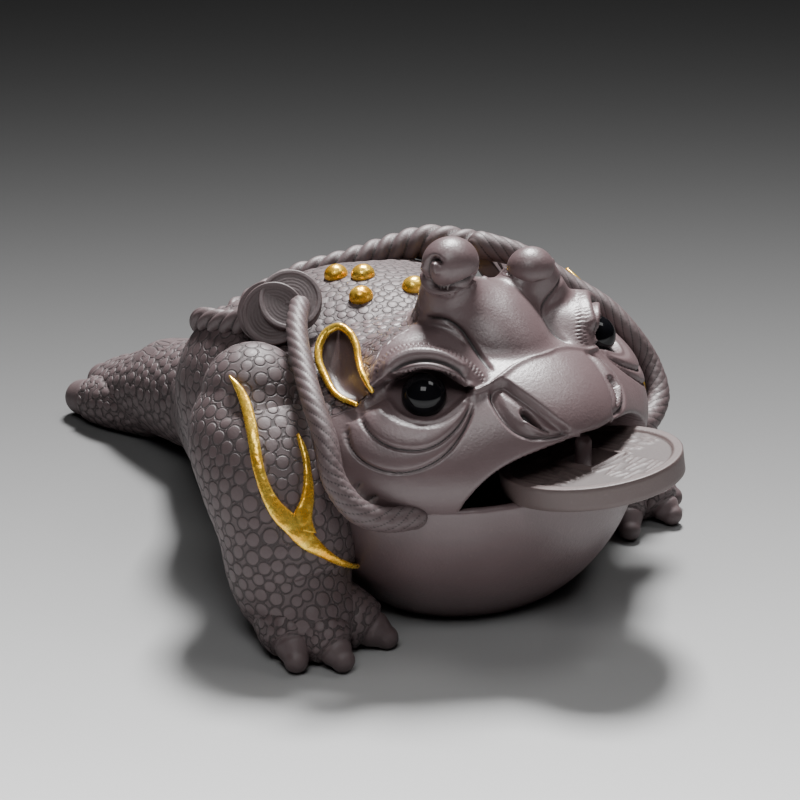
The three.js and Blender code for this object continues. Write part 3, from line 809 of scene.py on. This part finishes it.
# Painted shade: in the carved furrows, and between the cells of the scaled skin.
shade_relief = np.clip((1 - furrow) * (1 - scaled) + scaled * (SHADE + rough), 0, 1)
eye_floor = cast(lambda p: egg(p, **SKULL) + 0.4, HEAD_CENTRE, ALONG, ROUND)
head = head + head_normals * (height + scaled * CELL_RISE * (rough - 0.5))[..., None]
head = head + (eye_floor - head) * opening[..., None]
skin("head", head, CLAY, shade_relief=shade_relief, reach=reach + NO_CELL * (1 - scaled))

polar = crowded(270, 0, math.pi, [(1.6, 0.8, 2.0)])[::-1]
turn = crowded(310, 0, math.tau, [(0.0, 1.0, 1.6), (math.tau, 1.0, 1.6)], loop=True)
trunk = cast(trunk_field, [0, -6, 15], polar, turn, pole="y")
rough, reach = cells_on(trunk, lambda p: CELL * (1 + 0.8 * step(-2, 12, p[1])), 4)
front = step(-16, -19, trunk[..., 1]) * step(24, 27, trunk[..., 2])
hollow = ear_hollow(in_picture(mirrored(trunk)).reshape(-1, 2)).reshape(front.shape) * front
fade = step(3, 12, trunk[..., 2]) * (1 - step(0, 0.6, hollow))
# Painted shade between the cells.
shade_relief = np.clip(SHADE + rough, 1 - fade, 1)
trunk = trunk + normals_of(trunk) * (fade * CELL_RISE * (rough - 0.5) - hollow)[..., None]
skin("trunk", trunk, SKIN, shade_relief=shade_relief, reach=reach + NO_CELL * (1 - fade))


# ---- lower jaw
BOWL_POWER = 2.05
LIP_SHARE, LIP_RISE = 0.03, 0.55  # half its width as a share of the reach, and its height
MOUTH_DEPTH = 7


def bowl(cols=140, rows=56):
    """The jaw: rings from the flat foot up a full bowl, whose reach and depth raised to a power
    sum to one, round the lip, and down again into the mouth."""
    _, middle, lip = JAW["centre"]
    width, length, depth = JAW["radii"]
    z = lip * (1 - np.cos(np.linspace(0, math.pi / 2, rows)))
    reach = (1 - ((lip - z) / depth) ** BOWL_POWER) ** (1 / BOWL_POWER)
    foot = np.linspace(0, 1, 8, endpoint=False) * reach[0]
    turn = np.linspace(0, math.pi, 12)[1:]
    lip_reach = 1 - LIP_SHARE + LIP_SHARE * np.cos(turn)
    lip_z = lip + LIP_RISE * np.sin(turn)
    inner = np.linspace(lip_reach[-1], 0, 30)[1:]
    inner_z = lip - MOUTH_DEPTH * np.sqrt(1 - (inner / lip_reach[-1]) ** 4)
    reach = np.concatenate([foot, reach, lip_reach, inner])[:, None]
    z = np.concatenate([0 * foot, z, lip_z, inner_z])[:, None]
    angle = math.tau * np.arange(cols) / cols
    x, y = reach * np.cos(angle) * width, middle + reach * np.sin(angle) * length
    return np.stack([x, y, z + 0 * angle], -1)


skin("jaw", bowl(), CLAY)

# ---- eyes
EYE_RADIUS = 2.9
EYE_NUDGE = RIGHT * -0.15 + UP * 0.1
eye_box = np.array([list(corner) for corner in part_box("eye_right")])
eye_centre = eye_box.mean(0) / MM + EYE_NUDGE


def ball(centre, radii, rows=40, cols=64):
    """An ellipsoid: rings of latitude."""
    polar = np.linspace(0, math.pi, rows)[:, None]
    angle = math.tau * np.arange(cols)[None] / cols
    x, y = np.sin(polar) * np.cos(angle), np.sin(polar) * np.sin(angle)
    return centre + np.stack([x, y, np.cos(polar) + 0 * angle], -1) * radii


for name, sign in (("eye_right", 1), ("eye_left", -1)):
    bead = ball(eye_centre * [sign, 1, 1], [EYE_RADIUS] * 3)
    skin(name + "_bead", bead, GLASS, node=name, slot="eye_glass")

# ---- front legs
LEG_PATH = np.array([
    [-26.3, -10.8, 29.6], [-27.6, -12.1, 25.6], [-28.6, -16.8, 21.2], [-29.4, -20.4, 15.7],
    [-30.4, -23.8, 7.2], [-30.6, -26.5, 4.5],
])
LEG_RADII = [6.8, 8.6, 9.5, 9.0, 7.8, 6.4]
ABOVE_FLOOR = 0.02
leg_spine = smooth_path(np.column_stack([LEG_PATH, LEG_RADII]), 24)


def leg_field(p):
    """The front leg's own skin."""
    return rod(p, leg_spine[:, :3], leg_spine[:, 3])


def scaled_limb(points, radii, rows, cols, spacing, rise, seed, claw_from=1e9, **settings):
    """A limb whose skin is set with round cells. Past a length it is a smooth claw, behind a seam.
    Returns the grid, and its relief, which paints shade between the cells and in the seam, and
    reach."""
    grid, length, _ = tube(points, radii, rows, cols, **settings)
    rough, reach = cells_on(grid, spacing, seed)
    claw = step(claw_from - 0.3, claw_from + 0.3, length)
    seam = np.exp(-(((length - claw_from) / 0.4) ** 2))
    height = (1 - claw) * rise * (rough - 0.4) - 0.35 * seam - 0.3 * claw
    grid = grid + normals_of(grid) * height[..., None]
    grid[..., 2] = np.maximum(grid[..., 2], ABOVE_FLOOR)
    # Painted shade between the cells and in the seam before the claw.
    shade_relief = np.clip(SHADE + rough, 0, 1) * (1 - claw) + claw * (1 - seam)
    return grid, dict(shade_relief=shade_relief, reach=reach + NO_CELL * claw)


settings = dict(up=(-0.6, -0.7, 0.2), cap=30)
grid, fields = scaled_limb(LEG_PATH, LEG_RADII, 136, 200, 1.6, 0.05, 11, **settings)
both_sides("front_leg", grid, SKIN, **fields)
FRONT_TOES = [
    [[-31.5, -22.6, 5.2], [-34, -26, 4.2], [-35.4, -28.8, 3], [-36.6, -30.8, 1.7]],
    [[-31, -25.5, 5], [-31.6, -29.2, 4], [-32, -32.2, 2.9], [-32.1, -34.6, 1.6]],
    [[-28, -25, 4.8], [-26.6, -28.8, 3.9], [-25, -31.8, 2.7], [-23.8, -33.8, 1.5]],
]
TOE_RADII = [4.4, 4.2, 3.2, 1.9]
settings = dict(claw_from=12.6, cap=10)
for i, points in enumerate(FRONT_TOES):
    grid, fields = scaled_limb(points, TOE_RADII, 62, 56, 1.15, 0.1, 20 + i, **settings)
    both_sides(f"front_toe_{i + 1}", grid, SKIN, **fields)

# ---- hind leg
HIND_TOES = [
    [[-3, 44, 4.6], [-5.5, 53, 4], [-6.3, 58.5, 3.2]],
    [[1, 46, 5.6], [1, 56.5, 4.4], [0.5, 61.9, 3.4]],
    [[5, 44, 4.6], [7.6, 53, 4], [8.7, 59, 3.2]],
]
settings = dict(flat=[0.95, 0.98, 0.88, 0.6], cap=20)
grid, fields = scaled_limb(HIND_LEG, HIND_RADII, 120, 140, 1.6, 0.2, 31, **settings)
skin("hind_leg", grid, SKIN, **fields)
for i, points in enumerate(HIND_TOES):
    grid, fields = scaled_limb(points, [4.6, 4.2, 3.2], 60, 60, 1.3, 0.2, 40 + i, claw_from=17.4)
    skin(f"hind_toe_{i + 1}", grid, SKIN, **fields)

# ---- rope
SIDE_ROPE = [
    [-21.6, -36.8, 19.1], [-25.6, -35.5, 19.5], [-28.6, -33.9, 21.1], [-29.9, -31.2, 24.4],
    [-28.7, -28, 29], [-27.6, -24.8, 31.8], [-25.1, -20, 34.5], [-20.2, -12.7, 38],
    [-16.7, -9.2, 39],
]
LEFT_ROPE = SIDE_ROPE[:6] + [[-25.1, -20, 34.7], [-20.6, -12.9, 38.9], [-17.2, -9.4, 40.1]]
BACK_ROPE = np.array([
    [-18, -4, 36.8], [-19, 2, 34.2], [-17, 9, 30.5], [-11, 15, 27.5], [-3, 16, 29.3],
    [2.6, 12.6, 32.6], [7.8, 8.6, 35.1], [12.5, 5.5, 36.5], [17, 1, 38.2], [20, -4.5, 38.0],
])


def rope(points, radii, rows, cols, pitch, strands, counter, depth, plain_from=1e9):
    """A cord furrowed by strands that wind one way, and crossed by others that wind back, mostly
    before a length: by the sine of the angle less, or plus, the turns that the length makes."""
    grid, length, angle = tube(points, radii, rows, cols)
    wind = strands * (angle / 2 - math.pi * length / pitch)
    back = strands * (angle / 2 + math.pi * length / pitch)
    lay = 1 - np.abs(np.sin(wind)) ** 0.7
    crossed = 1 - 0.8 * step(plain_from - 8, plain_from, length)
    deep = np.maximum(lay, counter * (1 - np.abs(np.sin(back)) ** 0.7) * crossed)
    grid = grid + normals_of(grid) * (depth * (0.3 - deep))[..., None]
    # The relief returned paints shade in the furrows of the strands.
    return grid, np.clip(1 - deep * 1.3, 0, 1)


for name, path, radii, mirror in (
    ("side_rope_right", SIDE_ROPE, [1.65, 1.65, 1.5, 1.42, 1.42], 1),
    ("side_rope_left", LEFT_ROPE, [1.65, 1.65, 1.5, 1.5, 2.0], MIRROR),
):
    grid, shade_relief = rope(path, radii, 340, 40, 13, 7, 0.7, 0.12, plain_from=24)
    skin(name, grid * mirror, SKIN, shade_relief=shade_relief)
lift = np.maximum(0.3 - trunk_field(BACK_ROPE), 0)
laid = BACK_ROPE + slope_of(trunk_field, BACK_ROPE) * lift[:, None]
grid, shade_relief = rope(laid, [1.6, 1.6, 1.55, 1.7, 2.3, 2.4], 240, 40, 8.4, 3, 0.0, 0.75)
skin("back_rope", grid, SKIN, shade_relief=shade_relief)


# ---- coins
CHAMFER = 0.12
RING_GAP = 0.9  # twice the way from one worn ring to the next


def marks(x, y):
    """Rows of short worn strokes on the four sides of a coin's hole: each row is broken at a
    place of its own, its strokes lean a little, and a few upright ones join two rows."""
    chance = np.random.default_rng(12)
    places = np.column_stack([x.ravel(), y.ravel()])
    best = np.full(len(places), 1e9)
    for across, along in ((1, 0), (0, 1), (-1, 0), (0, -1)):
        axes = np.array([(across, along), (-along, across)])
        for row in (0.37, 0.46, 0.55, 0.64, 0.73, 0.81):
            gap, (a, b) = chance.uniform(-0.12, 0.12), chance.uniform(-0.04, 0.04, 2)
            post = chance.uniform(-0.24, 0.24)
            for ends in (
                ((row - a, -0.27), (row + a, gap - 0.05)),
                ((row - b, gap + 0.05), (row + b, 0.27)),
                ((row - 0.02, post), (row + 0.05, post + a)),
            ):
                best = np.minimum(best, to_line(places, ends @ axes)[0])
    return (1 - step(0.006, 0.034, best)).reshape(x.shape)


def coin(radius, thickness, hole, rim, sunk, rows=48, cols=200, mark=0.0, worn=0.0):
    """A pierced coin about the origin: rings out over the top from the square hole to the edge and
    back below. The field between the raised rims is sunk and set with short strokes, or with
    rings by the squared cosine of the radius."""
    angle = math.tau * np.arange(cols) / cols
    square = (hole / 2) / np.maximum(np.abs(np.cos(angle)), np.abs(np.sin(angle)))
    across = (np.linspace(0, 1, rows) ** 0.9)[:, None]
    r = square * (1 - across) + (radius - CHAMFER) * across
    x, y = r * np.cos(angle), r * np.sin(angle)
    in_hole = np.maximum(np.abs(x), np.abs(y)) - hole / 2
    field = step(rim * 0.45, rim * 0.45 + 0.3, in_hole) * step(rim, rim + 0.3, radius - r)
    bars = marks(x / radius, y / radius) * step(0.1, 0.45, field) if mark else 0 * x
    rings = np.cos(math.tau * r / RING_GAP) ** 2
    top = thickness / 2 - sunk * field + mark * bars - worn * field * rings
    upper = np.stack([x, y, top], -1)

    def wall(reach, start):
        """Six rings from a level to its opposite."""
        z = np.linspace(start, -start, 6)[:, None]
        ring = reach * np.cos(angle), reach * np.sin(angle)
        return np.stack(np.broadcast_arrays(*ring, z), -1)

    level = thickness / 2 - CHAMFER
    # Painted shade: the sunk field is shaded, its raised strokes a little less.
    flat, plain = 1 - 0.75 * field, np.ones((6, cols))
    shade_relief = np.concatenate([flat + 0.15 * bars, plain, flat[::-1], plain])
    lower = upper[::-1] * [1, 1, -1]
    grid = np.concatenate([upper, wall(radius, level), lower, wall(square, -level)])
    return grid, np.clip(shade_relief, 0, 1)


COIN_PLACE = [0.8, -46.4, 22.3]
COIN_FACING = facing_frame([-0.05, 0.156, 0.986], (0, 1, 0))
shape, shade_relief = coin(12.0, 3, 5.4, 1.2, 0.4, mark=0.13)
settings = dict(node="coin", slot="coin_clay", shade_relief=shade_relief, closed_rows=True)
skin("mouth_coin", COIN_PLACE + shape @ COIN_FACING, COIN, **settings)

STRUNG = [  # the middle of each coin, and the way that it faces
    ([-16.3, -6.8, 38.9], [-0.5, -0.6, 0.62]),
    ([-18.4, -5.9, 37.4], [-0.66, -0.6, 0.45]),
    ([-17.9, -4.3, 37.1], [-0.76, -0.42, 0.5]),
]
LEFT_SHIFT = [-5, -1, -2.8]
shape, shade_relief = coin(4.25, 2.2, 0.6, 0.5, 0.1, 40, 72, worn=0.03)
settings = dict(shade_relief=shade_relief, closed_rows=True)
for i, (centre, out) in enumerate(STRUNG):
    grid = centre + shape @ facing_frame(out)
    skin(f"strung_coin_{i + 1}_right", grid, SKIN, **settings)
    skin(f"strung_coin_{i + 1}_left", (grid + LEFT_SHIFT) * MIRROR, SKIN, **settings)

grid, _, _ = tube([[0.3, -45.3, 18.2], [0.3, -45.3, 25.6]], [1.1, 1.1], 12, 24, up=(0, 1, 0))
skin("coin_pillar", grid, CLAY)

# ---- horns
def horn_field(p):
    """The curl that rolls over the neck of a horn, and the top of that neck."""
    return merged(rod(p, HORN_NECK[1:], [3.7, 3.3]), egg(p, HORN_TIP, [3.85, 3.6, 3.4]), 0.25)


polar, turn = np.linspace(0, math.pi, 96), np.linspace(0, math.tau, 110, endpoint=False)
horn = cast(horn_field, (HORN_TIP + HORN_NECK[2]) / 2, polar, turn, pole="z", reach=14.0)
normals = normals_of(horn)
seen = step(0.0, 0.2, (normals * (VIEWPOINT - horn)).sum(-1) / DISTANCE)
px = in_picture(horn).reshape(-1, 2)
carved, deep = (v.reshape(seen.shape) * seen for v in curl(px))
horn = horn + normals * carved[..., None]
# Painted shade in the groove and pit of the curl.
skin("horn_right", horn, CLAY, shade_relief=1 - deep)
skin("horn_left", left_horn(horn), CLAY, shade_relief=1 - deep)

# ---- ears
EAR_PLACE = [-20.4, -22.1, 34.7]
EAR_FACING = [-0.695, -0.193, 0.693]
EAR_CLEAR, EAR_SLANT = 0.5, 1.4
LEFT_RIM_SHIFT = [-1.2, 0.8, -1.6]


def ear_edge(pixels):
    """Where the lines of sight through pixels meet the ear's plane, brought out along them where
    the head would cover it, and further than that, since they are aslant."""
    line = sight(pixels)
    away = ((EAR_PLACE - VIEWPOINT) @ EAR_FACING) / (line @ EAR_FACING)
    places = VIEWPOINT + line * away[:, None]
    return places - line * np.maximum(EAR_CLEAR - head_field(places), 0)[:, None] * EAR_SLANT


EAR_EDGES = [ear_edge(edge) for edge in (EAR_INNER, EAR_OUTER)]


def ear_cup(rows=50, cols=48):
    """A leaf-shaped cup: between its edges the inside sinks by half an ellipse, the back more."""
    half = cols // 2
    v = np.concatenate([np.linspace(a, 1 - a, half, endpoint=False) for a in (0, 1)])
    depth = np.where(np.arange(cols) < half, 2.4, 4) * np.sqrt(4 * v * (1 - v))
    return spanned(EAR_EDGES, rows, v) - BACK * depth[:, None]


both_sides("ear_cup", ear_cup(), CLAY)
rim = np.concatenate([EAR_EDGES[0], EAR_EDGES[1][-2::-1]])
grid, _, _ = tube(rim, [0.3, 0.45, 0.5, 0.55, 0.55, 0.5, 0.3], 130, 18)
skin("ear_rim_right", grid, GOLD, slot="gold")
skin("ear_rim_left", grid * MIRROR + LEFT_RIM_SHIFT, GOLD, slot="gold")

# ---- gilded flames and studs
FLAME_LONG = (
    [(229, 376), (236, 392), (242, 410.7), (246, 429), (249, 444.4), (251.3, 459.7), (257, 482),
     (265, 504), (274.7, 521), (286, 532.8), (301.5, 548), (319.4, 557), (339.8, 566),
     (352.6, 568.5), (366.6, 566)],
    [(230, 375), (243.6, 389), (251, 403), (256, 421.4), (259.7, 441), (262.7, 459.7), (268, 480),
     (279, 500), (294, 514), (306, 524), (315, 536), (333.4, 554.4), (347.4, 562), (359, 564.4),
     (366.6, 565.3)],
)
FLAME_SHORT = (
    [(296, 434.5), (299, 447), (302, 458), (303.3, 469), (303, 485), (300, 500), (294, 514),
     (296, 530)],
    [(297, 433.7), (303.3, 444.4), (308, 456.6), (310, 470), (312.5, 485), (313, 500),
     (311.7, 521.3), (316, 534)],
)


def landed(field, pixels):
    """Where the lines of sight through pixels meet a field, walked in steps a little shorter than
    the field, or where they pass nearest to it, drawn onto it."""
    line = sight(pixels)
    t = np.full(line.shape[:-1], DISTANCE - 60)
    for _ in range(50):
        t = np.minimum(t + 0.8 * field(VIEWPOINT + t[..., None] * line), DISTANCE + 30)
    trial = t[..., None] + np.linspace(-45, 0, 91)
    far = field(VIEWPOINT + trial[..., None] * line[..., None, :])
    near = np.take_along_axis(trial, far.argmin(-1)[..., None], -1)[..., 0]
    p = VIEWPOINT + np.where(far[..., -1] < 0.1, t, near)[..., None] * line
    for _ in range(4):
        p = p - field(p)[..., None] * slope_of(field, p)
    return p


def gilded(name, edges, field, rise=0.3, rows=110, cols=14):
    """A strip between two edges of the picture, laid on a field: its top swells by half an ellipse,
    and its underside lies below the skin."""
    v = np.linspace(0, 1, cols)
    base = landed(field, spanned(edges, rows, v))
    out = slope_of(field, base)
    swell = rise * np.sqrt(4 * v * (1 - v))[:, None]
    top, below = base + out * (0.3 + swell), base - out * 0.6
    both_sides(name, np.concatenate([top, below[:, ::-1]], 1), GOLD, slot="gold")


def limb_and_trunk(p):
    """The front leg's skin with the trunk's behind it."""
    return np.minimum(leg_field(p), trunk_field(p))


gilded("flame_long", FLAME_LONG, limb_and_trunk)
gilded("flame_short", FLAME_SHORT, limb_and_trunk)

STUD_SPOTS = [
    (-3.9, -2), (-2, -5.5), (-6.5, -10.1), (0.8, -12.8), (5.2, -12.2), (9, -10), (12.5, -7.5),
]
_, middle, level = TRUNK["centre"]
width, length, rise = TRUNK["radii"]
for i, (x, y) in enumerate(STUD_SPOTS):
    z = level + rise * math.sqrt(1 - (x / width) ** 2 - ((y - middle) / length) ** 2)
    skin(f"stud_{i + 1}", ball([x, y, z + 0.2], [1.75, 1.6, 1.5], 24, 32), GOLD, slot="gold")

# ---- floor, lights and camera
AWAY = (0.682, 0.731, 0)  # level and away from the camera
# The floor is painted darker away from the camera: painted shade standing in for the light's
# falloff.
FLOOR_SHADE_FALL = 12.1  # the tone goes by the exponential of minus this times the metres away
FLOOR_TONE, FLOOR_LEAST = 0.27, 0.006
SENSOR = 36
LIGHT_DISTANCE, LIGHT_AIM = 700, [0, -12, 15]

floor_finish = Finish("pale_floor", (0.8, 0.8, 0.8), 0.8, Specular_IOR_Level=0.0)
along = {0: floor_finish.places, 1: AWAY}
far = floor_finish.node("VectorMath", along, "Value", operation="DOT_PRODUCT")
# Painted shade: the floor's colour falls off with the distance away.
pale = (far * -FLOOR_SHADE_FALL).maths("EXPONENT") * FLOOR_TONE + FLOOR_LEAST
floor_finish.feed("Base Color", floor_finish.blend(pale, (0.0, 0.0, 0.0), (0.8, 0.8, 0.8)))
mesh = bpy.data.meshes.new("floor")
mesh.from_pydata([(-4, -4, 0), (4, -4, 0), (4, 4, 0), (-4, 4, 0)], [], [(0, 1, 2, 3)])
mesh.materials.append(floor_finish.material)
floor = placed("floor", mesh)


def matrix(across, rise, back, place):
    """An object's placing: the ways that its axes point, and its place in millimetres."""
    columns = np.stack([across, rise, back, np.asarray(place) * MM], 1)
    return Matrix([*columns.tolist(), [0, 0, 0, 1]])


def soft_light(name, direction, size, power):
    """A rectangle of light that lies in a direction from the figure and faces it."""
    d = unit(direction)
    across = unit(np.cross([0, 0, 1], d))
    lamp = bpy.data.lights.new(name, "AREA")
    lamp.shape, lamp.size, lamp.size_y = "RECTANGLE", size[0] * MM, size[1] * MM
    lamp.energy = power
    place = LIGHT_AIM + d * LIGHT_DISTANCE
    placed(name, lamp).matrix_world = matrix(across, np.cross(d, across), d, place)


soft_light("key_light", (0.44, 0.37, 1.0), (160, 160), 16)
soft_light("top_light", (0.4, -0.25, 0.9), (220, 220), 0.9)
soft_light("front_light", (-0.42, -0.36, 0.85), (300, 240), 1.5)
world = bpy.data.worlds.new("studio")
bpy.context.scene.world = world
world.use_nodes = True
background = world.node_tree.nodes["Background"].inputs
background["Color"].default_value = (0.9, 0.93, 1.0, 1)
background["Strength"].default_value = 0.01

camera = bpy.data.cameras.new("camera")
camera.sensor_width = SENSOR
camera.lens = FOCAL / PICTURE * SENSOR
camera.clip_start = 0.01
holder = placed("camera", camera)
holder.matrix_world = matrix(RIGHT, UP, BACK, VIEWPOINT)
bpy.context.scene.camera = holder
